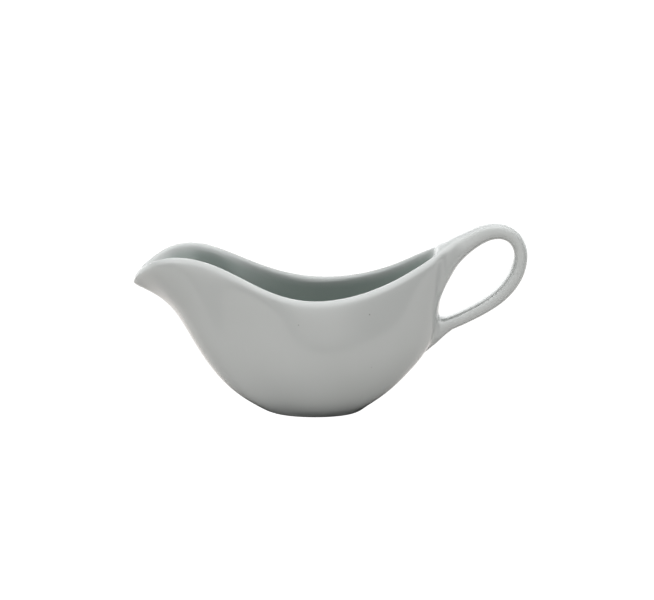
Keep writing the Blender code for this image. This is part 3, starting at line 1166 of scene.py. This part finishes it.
def glaze_material(is_bowl):
    """Glossy white glaze with slight clouding, specks and an uneven skin; on the bowl it is
    tinted greener and painted darker inside below the rim as painted shade, and stops at the bare
    foot ring."""
    name = "glazed_porcelain_bowl" if is_bowl else "glazed_porcelain"
    look, nodes, links = new_material(name)
    shader = nodes["Principled BSDF"]
    place = nodes.new("ShaderNodeTexCoord").outputs["Object"]
    cloud = noise_value(nodes, links, place, CLOUD_SCALE, 2.0)
    colour = mix_colour(nodes, links, soft_step(nodes, links, cloud, *CLOUD_EDGES),
                        OUTSIDE_GLAZE, CLOUDED_GLAZE)
    roughness = nodes.new("ShaderNodeMapRange")
    links.new(noise_value(nodes, links, place, GLOSS_SCALE, 3.0), roughness.inputs["Value"])
    roughness.inputs["To Min"].default_value = GLAZE_ROUGHNESS[0]
    roughness.inputs["To Max"].default_value = GLAZE_ROUGHNESS[1]
    rough = roughness.outputs["Result"]

    if is_bowl:
        # Painted shade inside the bowl: below the rim the glaze colour turns darker and greener,
        # partly a greener glaze tint.
        depth = nodes.new("ShaderNodeAttribute")
        depth.attribute_name = "inside_depth"
        inside_tint_and_shade = soft_step(nodes, links, depth.outputs["Fac"], *INSIDE_SHADE_DEPTH)
        colour = mix_colour(nodes, links, inside_tint_and_shade, colour, INSIDE_TINT_AND_PAINTED_SHADE)
        rough = mix_value(nodes, links, inside_tint_and_shade, rough, INSIDE_ROUGHNESS)
        for x, y, z, radius in FLANK_SPECKS:
            speck = speck_mask(nodes, links, place, (x, y, z), radius)
            share = math_node(nodes, links, "MULTIPLY", speck, FLANK_SPECK_SHARE)
            colour = mix_colour(nodes, links, share, colour, SPECK)

    cells = nodes.new("ShaderNodeTexVoronoi")
    cells.inputs["Scale"].default_value = SCATTERED_SPECK_SCALE
    links.new(place, cells.inputs["Vector"])
    scattered = soft_step(nodes, links, cells.outputs["Distance"], SCATTERED_SPECK_RADIUS,
                          SCATTERED_SPECK_RADIUS * 0.4)
    scattered = math_node(nodes, links, "MULTIPLY", scattered, SCATTERED_SPECK_SHARE)
    colour = mix_colour(nodes, links, scattered, colour, SPECK)

    if is_bowl:
        split = nodes.new("ShaderNodeSeparateXYZ")
        links.new(place, split.inputs["Vector"])
        bare = soft_step(nodes, links, split.outputs["Z"], BISCUIT_TOP[1], BISCUIT_TOP[0])
        grain = noise_value(nodes, links, place, CLAY_SCALE, 3.0)
        grain = soft_step(nodes, links, grain, *CLAY_EDGES)
        darker = tinted(CLAY_DARKENING, BISCUIT)
        biscuit = mix_colour(nodes, links, grain, BISCUIT, darker)
        colour = mix_colour(nodes, links, bare, colour, biscuit)
        rough = mix_value(nodes, links, bare, rough, BISCUIT_ROUGHNESS)

    links.new(colour, shader.inputs["Base Color"])
    links.new(rough, shader.inputs["Roughness"])
    bump = nodes.new("ShaderNodeBump")
    bump.inputs["Strength"].default_value = WAVE_STRENGTH
    bump.inputs["Distance"].default_value = WAVE_HEIGHT
    links.new(noise_value(nodes, links, place, WAVE_SCALE, 1.0), bump.inputs["Height"])
    links.new(bump.outputs["Normal"], shader.inputs["Normal"])
    return look


bowl, loop, upper_fillet, lower_fillet = build_pieces()
for piece, node in ((bowl, "boat_body"), (loop, "handle"),
                    (upper_fillet, "upper_joint_slip"), (lower_fillet, "lower_joint_slip")):
    piece.data.materials.append(glaze_material(piece is bowl))
    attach(piece, "root")
    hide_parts(node)


# ---------------------------------------------------------------- stage, light and camera

def level_by_height(nodes, links, height, levels):
    """The light's level at a height of direction, in straight lines between its levels."""
    ramp = nodes.new("ShaderNodeValToRGB")
    links.new(math_node(nodes, links, "MULTIPLY_ADD", height, 0.5, 0.5), ramp.inputs["Fac"])
    steps = ramp.color_ramp.elements
    steps.remove(steps[1])
    for i, (direction, level) in enumerate(levels):
        step = steps[0] if i == 0 else steps.new((direction + 1) / 2)
        step.position = (direction + 1) / 2
        step.color = (*tinted(level / BRIGHTEST, WHITE), 1.0)
    return math_node(nodes, links, "MULTIPLY", ramp.outputs["Color"], BRIGHTEST)


def make_world():
    """Soft studio light by direction, a little warmer below than above."""
    world = bpy.data.worlds.new("studio")
    bpy.context.scene.world = world
    world.use_nodes = True
    nodes, links = world.node_tree.nodes, world.node_tree.links
    where = nodes.new("ShaderNodeTexCoord")
    split = nodes.new("ShaderNodeSeparateXYZ")
    links.new(where.outputs["Generated"], split.inputs["Vector"])
    y, z = split.outputs["Y"], split.outputs["Z"]
    rays = nodes.new("ShaderNodeLightPath")
    direct = math_node(nodes, links, "LESS_THAN", rays.outputs["Diffuse Depth"], 0.5)
    reflected = math_node(nodes, links, "MULTIPLY", rays.outputs["Is Glossy Ray"], direct)
    behind = soft_step(nodes, links, y, *BACK_START)
    past_edge = math_node(nodes, links, "MULTIPLY_ADD", y, -TABLE_EDGE_SLOPE, z)
    past_edge = soft_step(nodes, links, past_edge, -TABLE_EDGE_SOFTNESS, TABLE_EDGE_SOFTNESS)

    aside = math_node(nodes, links, "ABSOLUTE", split.outputs["X"])
    aside = soft_step(nodes, links, aside, *WINDOW_SIDES)

    front, back, table, window, room, back_shine = (
        level_by_height(nodes, links, z, levels) for levels in
        (FRONT_LIGHT, BACK_LIGHT, TABLE_SHINE, WINDOW_SHINE, ROOM_SHINE, BACK_SHINE)
    )
    room = mix_value(nodes, links, aside, window, room)
    from_left = math_node(nodes, links, "MULTIPLY_ADD", split.outputs["X"], -LEFT_BIAS, 1.0)
    front = math_node(nodes, links, "MULTIPLY", front, from_left)
    light = mix_value(nodes, links, behind, front, back)
    shine = mix_value(nodes, links, past_edge, table, room)
    shine = mix_value(nodes, links, behind, shine, back_shine)
    background = nodes["Background"]
    links.new(mix_value(nodes, links, reflected, light, shine), background.inputs["Strength"])
    tint = mix_colour(nodes, links, soft_step(nodes, links, z, *WARM_BELOW), WARM, COOL)
    links.new(tint, background.inputs["Color"])


def make_floor():
    bpy.ops.mesh.primitive_plane_add(size=FLOOR_SIZE, location=(0.0, 0.0, FLOOR_LEVEL))
    floor = bpy.context.object
    floor.name = "floor"
    look, nodes, links = new_material("white_floor")
    nodes.clear()
    light = nodes.new("ShaderNodeEmission")
    light.inputs["Strength"].default_value = FLOOR_BRIGHTNESS
    output = nodes.new("ShaderNodeOutputMaterial")
    links.new(light.outputs["Emission"], output.inputs["Surface"])
    floor.data.materials.append(look)
    floor.visible_diffuse = False
    floor.visible_glossy = False


def make_table_shade():
    """The table's shade round the foot, as a dark sheet that the glaze sees and the camera does
    not.
    """
    place = (FOOT_CENTRE_X, 0.0, SHADE_LEVEL)
    bpy.ops.mesh.primitive_plane_add(size=SHADE_SIZE, location=place)
    shade = bpy.context.object
    shade.name = "table_shade"
    look, nodes, links = new_material("table_shade")
    nodes.clear()
    where = nodes.new("ShaderNodeTexCoord").outputs["Object"]
    reach = nodes.new("ShaderNodeVectorMath")
    reach.operation = "LENGTH"
    links.new(where, reach.inputs[0])
    fade = soft_step(nodes, links, reach.outputs["Value"], *SHADE_EDGE)
    dark = nodes.new("ShaderNodeBsdfDiffuse")
    dark.inputs["Color"].default_value = SHADE_COLOUR
    clear = nodes.new("ShaderNodeBsdfTransparent")
    mixed = nodes.new("ShaderNodeMixShader")
    links.new(fade, mixed.inputs["Fac"])
    links.new(dark.outputs["BSDF"], mixed.inputs[1])
    links.new(clear.outputs["BSDF"], mixed.inputs[2])
    output = nodes.new("ShaderNodeOutputMaterial")
    links.new(mixed.outputs["Shader"], output.inputs["Surface"])
    shade.data.materials.append(look)
    shade.visible_camera = False


def make_camera():
    azimuth, elevation = math.radians(CAMERA_AZIMUTH), math.radians(CAMERA_ELEVATION)
    back = Vector((
        math.sin(azimuth) * math.cos(elevation),
        -math.cos(azimuth) * math.cos(elevation),
        math.sin(elevation),
    ))
    data = bpy.data.cameras.new("camera")
    data.lens = CAMERA_LENS
    data.sensor_width = 36.0
    camera = bpy.data.objects.new("camera", data)
    camera.location = Vector(CAMERA_TARGET) + back * CAMERA_DISTANCE
    camera.rotation_mode = "QUATERNION"
    camera.rotation_quaternion = back.to_track_quat("Z", "Y")
    bpy.context.collection.objects.link(camera)
    bpy.context.scene.camera = camera


make_world()
make_floor()
make_table_shade()
make_camera()
bpy.context.scene.view_settings.view_transform = "Standard"
